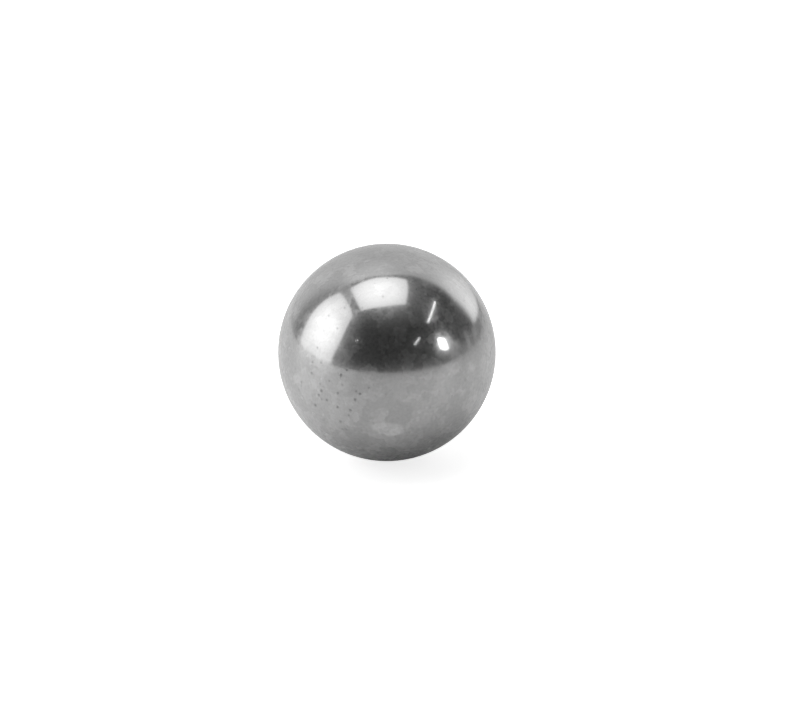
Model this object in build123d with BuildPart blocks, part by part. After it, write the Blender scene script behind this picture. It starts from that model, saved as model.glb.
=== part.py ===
"""Polished steel ball: one solid, a true sphere, with its centre at the origin and +Z up."""

from build123d import *
import os

# Driving dimension, in millimetres
ball_diameter = 25.4

ball_radius = ball_diameter / 2

# The lapped sphere: a half disc with its flat side on the Z axis, turned once round that axis
with BuildPart() as ball:
    with BuildSketch(Plane.XZ):
        with BuildLine():
            CenterArc((0, 0), ball_radius, start_angle=-90, arc_size=180)
            Line((0, ball_radius), (0, -ball_radius))
        make_face()
    revolve(axis=Axis.Z, revolution_arc=360)

ball.part.label = "ball"

os.makedirs("parts", exist_ok=True)
export_step(ball.part, "parts/ball.step")
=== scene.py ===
"""Looks of a polished steel ball: its lapped surface, the floor under it and the studio it mirrors."""

import math
import random

import bmesh
import bpy
from mathutils import Matrix, Vector


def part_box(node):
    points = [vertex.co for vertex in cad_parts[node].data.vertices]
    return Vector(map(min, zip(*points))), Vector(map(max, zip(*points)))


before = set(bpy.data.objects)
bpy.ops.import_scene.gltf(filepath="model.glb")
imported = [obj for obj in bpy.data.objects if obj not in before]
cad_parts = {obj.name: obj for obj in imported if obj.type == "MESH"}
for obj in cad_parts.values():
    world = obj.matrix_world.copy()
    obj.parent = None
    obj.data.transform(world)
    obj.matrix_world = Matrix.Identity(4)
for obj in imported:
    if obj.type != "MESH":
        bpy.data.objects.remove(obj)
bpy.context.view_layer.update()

millimetre = 0.001
degrees_in_radian = 180 / math.pi
white = (1, 1, 1, 1)

# The ball, as the frame gives it
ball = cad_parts["ball"]
ball_low, ball_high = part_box("ball")
ball_radius = (ball_high.z - ball_low.z) / 2
floor_level = ball_low.z

# The photograph's framing, in pixels of its 800 by 720 frame
frame_width = 800
frame_height = 720
ball_in_photo = (386.9, 352.3)
ball_radius_in_photo = 108.9

# The camera stands in front of the ball, on the -Y side, and looks down on it
camera_distance = 30 * ball_radius
camera_elevation = math.radians(20.5)
film_width = 36.0

# The lamps hang on the walls of a cube round the ball. A place on a wall is given as the wall's own
# two numbers, sideways and upwards, in multiples of the reach, and 0, 0 is straight out from the ball.
studio_reach = 0.6
walls = {
    "ceiling": (Vector((0, 0, 1)), Vector((1, 0, 0)), Vector((0, 1, 0))),
    "left": (Vector((-1, 0, 0)), Vector((0, -1, 0)), Vector((0, 0, 1))),
    "right": (Vector((1, 0, 0)), Vector((0, 1, 0)), Vector((0, 0, 1))),
    "front": (Vector((0, -1, 0)), Vector((1, 0, 0)), Vector((0, 0, 1))),
}


class Socket:
    """One output of a shader node. Arithmetic on it adds the Math nodes that work it out."""

    def __init__(self, graph, output):
        self.graph = graph
        self.output = output

    def __add__(self, other):
        return self.graph.math("ADD", self, other)

    def __radd__(self, other):
        return self.graph.math("ADD", other, self)

    def __sub__(self, other):
        return self.graph.math("SUBTRACT", self, other)

    def __rsub__(self, other):
        return self.graph.math("SUBTRACT", other, self)

    def __mul__(self, other):
        return self.graph.math("MULTIPLY", self, other)

    def __rmul__(self, other):
        return self.graph.math("MULTIPLY", other, self)

    def __abs__(self):
        return self.graph.math("ABSOLUTE", self)


class Graph:
    """The shader nodes of a material, a lamp or the world."""

    def __init__(self, owner):
        owner.use_nodes = True
        self.tree = owner.node_tree
        self.tree.nodes.clear()

    def node(self, kind, settings=None, inputs=None, output=0):
        """Adds a node with its settings, then the values or links of its inputs. Gives one output."""
        node = self.tree.nodes.new(kind)
        for name, setting in (settings or {}).items():
            setattr(node, name, setting)
        for name, given in (inputs or {}).items():
            if isinstance(given, Socket):
                self.tree.links.new(given.output, node.inputs[name])
            else:
                node.inputs[name].default_value = given
        if not node.outputs:
            return None
        return Socket(self, node.outputs[output])

    def math(self, operation, *numbers):
        return self.node("ShaderNodeMath", {"operation": operation}, dict(enumerate(numbers)))

    def larger(self, first, second):
        return self.math("MAXIMUM", first, second)

    def smaller(self, first, second):
        return self.math("MINIMUM", first, second)

    def rise(self, value, start, end):
        """Goes smoothly from 0, where the value is at start, to 1, where it is at end."""
        settings = {"interpolation_type": "SMOOTHSTEP"}
        inputs = {"Value": value, "From Min": start, "From Max": end}
        return self.node("ShaderNodeMapRange", settings, inputs)

    def vectors(self, operation, *given, output="Vector"):
        """Vector Math. Lengths, distances and dot products are in its Value output."""
        return self.node("ShaderNodeVectorMath", {"operation": operation}, dict(enumerate(given)), output)

    def parts(self, vector):
        """The X, Y and Z numbers of a vector."""
        split = self.node("ShaderNodeSeparateXYZ", inputs={"Vector": vector})
        outputs = split.output.node.outputs
        return [Socket(self, outputs[axis]) for axis in "XYZ"]

    def clouds(self, place, size, detail=2.0, roughness=0.5):
        """Soft noise from 0 to 1, whose blotches measure about the given size."""
        inputs = {"Vector": place, "Scale": 1 / size, "Detail": detail, "Roughness": roughness}
        return self.node("ShaderNodeTexNoise", {"normalize": True}, inputs)


def pits(graph, place):
    """Tiny round pits, crowded in a few places, and larger ones low on the left of the front. Gives where
    the pits are and where they are the larger ones."""
    spacing = 0.85 * millimetre
    pit_radius = 0.15 * millimetre
    added_radius = 0.10 * millimetre
    crowd_size = 2.5 * millimetre
    added_crowding = 0.08
    larger_side = Vector((-0.52, -0.85, -0.10))
    inputs = {"Vector": place, "Scale": 1 / spacing}
    distance = graph.node("ShaderNodeTexVoronoi", {"feature": "F1"}, inputs, "Distance")
    side = graph.vectors("DOT_PRODUCT", place, larger_side / ball_radius, output="Value")
    larger_ones = graph.rise(side, 0.88, 0.98)
    crowd = graph.clouds(place, crowd_size) + larger_ones * added_crowding
    size = (pit_radius + larger_ones * added_radius) * (1 / spacing)
    marks = graph.rise(distance, size, size * 0.5) * graph.rise(crowd, 0.50, 0.56)
    return marks, larger_ones


def hairlines(graph, place):
    """Fine straight scratches, each a short stretch of a great circle, spread at random."""
    chance = random.Random(11)
    how_many = 14
    half_width = 0.018 * millimetre

    # Half lengths, in millimetres
    shortest = 1.2
    longest = 4.5

    marks = None
    for _ in range(how_many):
        middle = Vector(chance.gauss(0, 1) for _ in range(3)).normalized()
        across = middle.cross(Vector(chance.gauss(0, 1) for _ in range(3))).normalized()
        half_length = chance.uniform(shortest, longest) * millimetre
        off_line = abs(graph.vectors("DOT_PRODUCT", place, across, output="Value"))
        off_middle = graph.vectors("DISTANCE", place, middle * ball_radius, output="Value")
        line = graph.rise(off_line, half_width, 0)
        mark = line * graph.rise(off_middle, half_length, 0.4 * half_length)
        marks = mark if marks is None else graph.larger(marks, mark)
    return marks


def smudge(graph, place, middle, width, height):
    """A pale soft patch on the ball, seen from the front as a slanting oval with a ragged edge."""
    slant = math.radians(12)
    inputs = {
        "Vector": place,
        "Location": middle * ball_radius,
        "Rotation": (0, slant, 0),
        "Scale": (width / 2, height / 2, height / 2),
    }
    oval = graph.node("ShaderNodeMapping", {"vector_type": "TEXTURE"}, inputs)
    ragged = graph.clouds(place, 1.0 * millimetre)
    off_middle = graph.vectors("LENGTH", oval, output="Value") + (ragged - 0.5) * 0.5
    return graph.rise(off_middle, 1.05, 0.8)


def polished_steel():
    """Lapped and polished bare steel: nearly a mirror, with an uneven haze, hairlines and tiny pits."""
    material = bpy.data.materials.new("polished_steel")
    graph = Graph(material)
    place = graph.node("ShaderNodeTexCoord", output="Object")

    # Lapping leaves a true sphere, so the surface faces straight away from the ball's centre
    outward = graph.vectors("NORMALIZE", place)

    broad = graph.clouds(place, 4.5 * millimetre)
    crowding = (broad - 0.5) * 0.4
    islands = graph.rise(graph.clouds(place, 3.2 * millimetre, detail=3.0) + crowding, 0.49, 0.57)
    flecks = graph.rise(graph.clouds(place, 1.5 * millimetre) + crowding, 0.55, 0.63)
    grain = graph.clouds(place, 0.4 * millimetre)
    pitted, larger_pits = pits(graph, place)
    scratched = hairlines(graph, place)
    smudged = smudge(
        graph,
        place,
        middle=Vector((0.016, -0.917, -0.398)),
        width=3.9 * millimetre,
        height=2.2 * millimetre,
    )

    # The blotches, the smudge and the grain make the steel lighter or darker, and painted shade darkens
    # it in the pits, which are also dented by the bump
    steel_grey = 0.57
    plain_shade = 0.975
    blotches = (broad - 0.5) * 0.12 + islands * 0.078 + flecks * 0.082 + smudged * 0.30
    shade = plain_shade + blotches + (grain - 0.5) * 0.14
    colour = shade * steel_grey * (1 - pitted * (0.35 + larger_pits * 0.1))

    # The steel is a clear mirror seen through a thin haze, which is thicker in some places
    plain_haze = 0.38
    least_blur = 0.07
    haze_blur = 0.29
    hazy = plain_haze + (broad - 0.5) * 0.3 + islands * 0.15 + flecks * 0.2 + (grain - 0.5) * 0.4
    hazy = hazy + pitted * 0.3 + scratched * 0.3
    clear_blur = least_blur + hazy * 0.06

    # Heights and depths are in wave heights
    wave_height = 0.0012 * millimetre
    pit_depth = 3
    added_depth = 15
    waves = graph.clouds(place, 1.6 * millimetre, detail=1.0)
    height = waves - pitted * (pit_depth + larger_pits * added_depth)
    bump = graph.node(
        "ShaderNodeBump",
        inputs={"Strength": 0.5, "Distance": wave_height, "Height": height, "Normal": outward},
    )

    def steel(blur):
        inputs = {"Base Color": colour, "Metallic": 1.0, "Roughness": blur, "Normal": bump}
        return graph.node("ShaderNodeBsdfPrincipled", inputs=inputs)

    clear = steel(clear_blur)
    hazed = steel(haze_blur)
    surface = graph.node("ShaderNodeMixShader", inputs={0: hazy, 1: clear, 2: hazed})
    graph.node("ShaderNodeOutputMaterial", inputs={"Surface": surface})
    return material


def pale_floor():
    """Plain pale floor. The camera and the steel see it paler than it is lit: white for the camera, and
    for the steel with painted light, a glow that is uneven round the ball, and painted shade behind it on
    the right. It keeps a soft shadow. Places on it are in ball radii from the ball's centre."""
    material = bpy.data.materials.new("pale_floor")
    graph = Graph(material)
    rise = graph.rise
    metres = graph.node("ShaderNodeTexCoord", output="Object")
    place = graph.vectors("MULTIPLY", metres, Vector((1, 1, 1)) / ball_radius)
    distance = graph.vectors("LENGTH", place, output="Value")

    # White for the camera, apart from the shadow near the ball
    lift_near_ball = 0.76
    camera_lift = lift_near_ball + rise(distance, 1.5, 5) * (1 - lift_near_ball)

    # In the steel the floor stays grey, with painted light added: an uneven glow, lighter to the back
    # left, the far left and the right, less in front and least near the ball, where its real shadow
    # leaves it dark
    least_painted_light = 0.015
    x, y, _ = graph.parts(place)
    back_left = y * 0.5 - x * 0.87
    painted_light_back_left = rise(back_left, -0.1, 0.9) * 0.088
    painted_light_far_left = rise(distance, 6, 16) * rise(x, 0, -8) * 0.04
    painted_light_right = rise(x, 0.8, 3.5) * rise(y, 0.7, 0) * 0.055
    painted_light_front_fall = rise(y, 0.5, -1.5) * 0.11
    painted_light_all_round = rise(distance, 0.9, 2.4) * (0.12 - painted_light_front_fall)

    # Painted shade behind the ball on the right, seen in the steel as a dark gap: the painted light is
    # less there. It spans these degrees of turn, from 0 at the front.
    turn = graph.math("ARCTAN2", x, 0 - y) * degrees_in_radian
    painted_shade_turn = rise(turn, 108, 124) * rise(turn, 152, 138)
    gap_shade = painted_shade_turn * (rise(distance, 1.2, 2.5) * 0.03 + rise(distance, 8, 22) * 0.12)
    painted_light_for_steel = least_painted_light + painted_light_all_round + painted_light_back_left + painted_light_far_left + painted_light_right - gap_shade

    # The floor glows: white for the camera, and with painted light and painted shade for the steel
    for_camera = graph.node("ShaderNodeLightPath", output="Is Camera Ray")
    for_steel = graph.node("ShaderNodeLightPath", output="Is Glossy Ray")
    camera_white_and_painted_light = for_camera * camera_lift + for_steel * painted_light_for_steel
    floor_grey = 0.86
    lit = graph.node(
        "ShaderNodeBsdfPrincipled",
        inputs={"Base Color": (floor_grey, floor_grey, floor_grey, 1), "Roughness": 0.5, "IOR": 1.45},
    )
    glow = graph.node("ShaderNodeEmission", inputs={"Color": white, "Strength": camera_white_and_painted_light})
    both = graph.node("ShaderNodeAddShader", inputs={0: lit, 1: glow})
    graph.node("ShaderNodeOutputMaterial", inputs={"Surface": both})
    return material


def lay_floor():
    """A round floor, level with the lowest point of the ball."""
    floor_radius = 3.0
    floor_sides = 96
    mesh = bpy.data.meshes.new("floor")
    form = bmesh.new()
    bmesh.ops.create_circle(form, cap_ends=True, segments=floor_sides, radius=floor_radius)
    bmesh.ops.translate(form, verts=form.verts, vec=(0, 0, floor_level))
    form.to_mesh(mesh)
    form.free()
    floor = bpy.data.objects.new("floor", mesh)
    bpy.context.scene.collection.objects.link(floor)
    mesh.materials.append(pale_floor())


def hang_lamp(name, wall, corners, glow, feather, hot_spot=None, spread=1.0, dim=0.0):
    """A flat lamp on a wall. Its outline is convex, and its corners are given anticlockwise as the wall's
    numbers run. Its glow is how bright it looks, where 1 is white. The glow starts within the feather's
    width of the outline, and it falls by the dim share over the spread round the hot spot."""
    outward, sideways, upwards = walls[wall]
    low = Vector(min(corner[i] for corner in corners) for i in range(2))
    high = Vector(max(corner[i] for corner in corners) for i in range(2))
    middle = (low + high) / 2
    size = high - low

    lamp = bpy.data.lights.new(name, "AREA")
    lamp.shape = "RECTANGLE"
    lamp.size = size.x * studio_reach
    lamp.size_y = size.y * studio_reach
    lamp.energy = math.pi * lamp.size * lamp.size_y * glow
    holder = bpy.data.objects.new(name, lamp)
    bpy.context.scene.collection.objects.link(holder)
    turn = Matrix((sideways, upwards, outward)).transposed().to_4x4()
    centre = (outward + sideways * middle.x + upwards * middle.y) * studio_reach
    holder.matrix_world = Matrix.Translation(centre) @ turn

    # Only what lies within the outline glows
    graph = Graph(lamp)
    across, up, _ = graph.parts(graph.node("ShaderNodeNewGeometry", output="Parametric"))
    across = across * size.x + low.x
    up = up * size.y + low.y
    strength = 1.0
    for start, end in zip(corners, corners[1:] + corners[:1]):
        edge = (Vector(end) - Vector(start)).normalized()
        inwards = (up - start[1]) * edge.x - (across - start[0]) * edge.y
        strength = strength * graph.rise(inwards, 0, feather)
    if hot_spot:
        off_across = across - hot_spot[0]
        off_up = up - hot_spot[1]
        off = graph.math("SQRT", off_across * off_across + off_up * off_up)
        strength = strength * (1 - graph.rise(off, 0, spread) * dim)
    light = graph.node("ShaderNodeEmission", inputs={"Color": white, "Strength": strength})
    graph.node("ShaderNodeOutputLight", inputs={"Surface": light})


def hang_lamps():
    """The lamps that the ball mirrors. A halo is the dimmer glow round a lamp."""
    hang_lamp(
        "overhead_softbox",
        "ceiling",
        corners=[
            (-0.515, -0.44),
            (-0.02, -0.418),
            (0.355, -0.317),
            (0.35, 0.05),
            (0.305, 0.305),
            (-0.22, 0.305),
            (-0.61, 0.24),
        ],
        glow=1.58,
        feather=0.05,
        hot_spot=(-0.18, -0.03),
        spread=0.7,
        dim=0.34,
    )
    hang_lamp(
        "side_softbox",
        "left",
        corners=[
            (-0.30, -0.05),
            (0.605, -0.05),
            (0.76, 0.5),
            (0.768, 0.8),
            (0.745, 1.05),
            (0.70, 1.37),
            (0.45, 1.49),
            (0.15, 1.45),
            (-0.22, 1.352),
            (-0.405, 1.235),
            (-0.43, 0.9),
            (-0.42, 0.5),
            (-0.37, 0.2),
        ],
        glow=1.7,
        feather=0.09,
        hot_spot=(0.12, 0.53),
        spread=0.7,
        dim=0.38,
    )
    hang_lamp(
        "small_lamp",
        "right",
        corners=[
            (-0.603, 0.27),
            (-0.46, 0.182),
            (-0.34, 0.168),
            (-0.34, 0.40),
            (-0.405, 0.459),
            (-0.505, 0.525),
            (-0.57, 0.525),
            (-0.61, 0.44),
        ],
        glow=4.4,
        feather=0.045,
    )
    hang_lamp(
        "small_lamp_halo",
        "right",
        corners=[
            (-0.74, 0.12),
            (-0.46, 0.035),
            (-0.12, 0.12),
            (-0.12, 0.42),
            (-0.34, 0.66),
            (-0.52, 0.735),
            (-0.68, 0.70),
            (-0.76, 0.52),
        ],
        glow=0.65,
        feather=0.2,
    )
    hang_lamp(
        "long_tube",
        "right",
        corners=[(-0.60, 0.948), (0.11, 1.045), (0.11, 1.147), (-0.60, 1.048)],
        glow=4.0,
        feather=0.045,
    )
    hang_lamp(
        "long_tube_halo",
        "right",
        corners=[(-0.70, 0.86), (0.18, 0.97), (0.18, 1.34), (-0.68, 1.23)],
        glow=0.13,
        feather=0.12,
    )
    hang_lamp(
        "short_tube",
        "front",
        corners=[(0.638, 0.523), (0.888, 0.773), (0.846, 0.815), (0.596, 0.565)],
        glow=2.9,
        feather=0.026,
    )
    hang_lamp(
        "short_tube_halo",
        "front",
        corners=[(0.62, 0.50), (0.93, 0.80), (0.82, 0.96), (0.50, 0.64)],
        glow=0.08,
        feather=0.08,
    )
    hang_lamp(
        "far_lamp",
        "front",
        corners=[(-0.755, 0.65), (-0.705, 0.65), (-0.705, 0.70), (-0.755, 0.70)],
        glow=5.5,
        feather=0.02,
    )


def surroundings():
    """The studio beyond the lamps: white behind the ball for the camera, and for the steel a dark room in
    front and a pale sweep behind. Azimuth is 0 at the front and grows to the right, in degrees."""
    world = bpy.data.worlds.new("studio")
    bpy.context.scene.world = world
    graph = Graph(world)
    rise = graph.rise
    direction = graph.node("ShaderNodeTexCoord", output="Generated")
    x, y, z = graph.parts(direction)
    azimuth = graph.math("ARCTAN2", x, 0 - y) * degrees_in_radian
    elevation = graph.math("ARCSINE", z) * degrees_in_radian

    def panel(left, right, low, high, soft):
        """1 within these degrees of azimuth and elevation, with a soft edge."""
        sides = rise(azimuth, left - soft, left + soft) * rise(azimuth, right + soft, right - soft)
        ends = rise(elevation, low - soft, low + soft) * rise(elevation, high + soft, high - soft)
        return sides * ends

    # The room is darkest in front, and paler to the sides, overhead and on a few panels
    darkest = 0.031
    room = (
        darkest
        + rise(azimuth, 12, -25) * 0.014
        + rise(azimuth, -30, -60) * rise(elevation, 66, 48) * 0.19
        + rise(azimuth, 5, -40) * rise(elevation, 7, 0) * 0.12
        + rise(azimuth, 25, 105) * 0.032
        + rise(elevation, 40, 75) * 0.12
        + rise(elevation, 60, 72) * 0.06
        + rise(azimuth, 55, 85) * rise(elevation, 14, 1) * 0.22
        + panel(62, 92, 42, 56, 8) * 0.05
        + panel(96.5, 101.5, -2, 13.5, 1.5) * 0.20
        + panel(79, 86, 6, 13, 2) * 0.20
        + panel(109, 118, 1, 8, 2.5) * 0.16
    )

    # The sweep fades out behind the side lamp, and on the right it ends in a straight leaning edge.
    # A dark gap lies under its right end.
    to_right = graph.larger(x, 0.0)
    left_fade = rise(azimuth - elevation * 0.17, -118, -142) + rise(azimuth, 0, 5)
    ceiling_edge = y - graph.larger(x * 0.30, x * -0.05) - z * 0.345
    wall_edge = y - to_right * 0.53
    edge_blur = 0.025 + to_right * 0.09
    right_edge = rise(graph.smaller(ceiling_edge, wall_edge), 0 - edge_blur, edge_blur)
    gap_shade = rise(azimuth, 80, 90) * rise(elevation + azimuth * 0.24, 38, 34.5)
    cover = left_fade * right_edge * (1 - gap_shade)

    # A bright card stands before the sweep, at the back on the right
    card = rise(azimuth, 165, 132) * rise(azimuth, 100, 110) * rise(elevation, 52, 14)
    sweep_grey = 0.615
    sweep = (
        sweep_grey
        + rise(elevation, 62, 72) * 0.06
        + rise(elevation, 40, 58) * rise(x, 0.22, -0.15) * 0.16
        + rise(elevation, 25, 8) * 0.04
        + rise(x, -0.2, -0.7) * 0.05
        + card * 0.58
    )
    studio = room * (1 - cover) + sweep * cover

    seen = graph.node("ShaderNodeLightPath", output="Is Camera Ray")
    strength = graph.larger(seen, studio)
    backdrop = graph.node("ShaderNodeBackground", inputs={"Color": white, "Strength": strength})
    graph.node("ShaderNodeOutputWorld", inputs={"Surface": backdrop})


def set_camera():
    """Frames the ball as the photograph does. The lens gives the ball's outline its radius there."""
    farthest = 10
    lens = film_width * ball_radius_in_photo / frame_width
    lens *= math.sqrt((camera_distance / ball_radius) ** 2 - 1)
    data = bpy.data.cameras.new("camera")
    data.sensor_width = film_width
    data.lens = lens
    data.shift_x = (frame_width / 2 - ball_in_photo[0]) / frame_width
    data.shift_y = (ball_in_photo[1] - frame_height / 2) / frame_width
    data.clip_start = ball_radius
    data.clip_end = farthest
    camera = bpy.data.objects.new("camera", data)
    bpy.context.scene.collection.objects.link(camera)
    view = Vector((0, -math.cos(camera_elevation), math.sin(camera_elevation)))
    camera.location = view * camera_distance
    camera.rotation_euler = (math.pi / 2 - camera_elevation, 0, 0)
    bpy.context.scene.camera = camera


def refine(piece, levels, radius):
    """Gives the sphere finer facets and puts every corner of them at the same radius."""
    finer = piece.modifiers.new("finer_facets", "SUBSURF")
    finer.subdivision_type = "SIMPLE"
    finer.levels = levels
    finer.render_levels = levels
    rounder = piece.modifiers.new("true_radius", "CAST")
    rounder.cast_type = "SPHERE"
    rounder.factor = 1.0
    rounder.size = radius
    rounder.radius = 0.0
    rounder.use_radius_as_size = False


set_camera()
for slot in ball.material_slots:
    slot.material = polished_steel()
refine(ball, levels=1, radius=ball_radius)
lay_floor()
hang_lamps()
surroundings()
bpy.context.scene.view_settings.view_transform = "Standard"
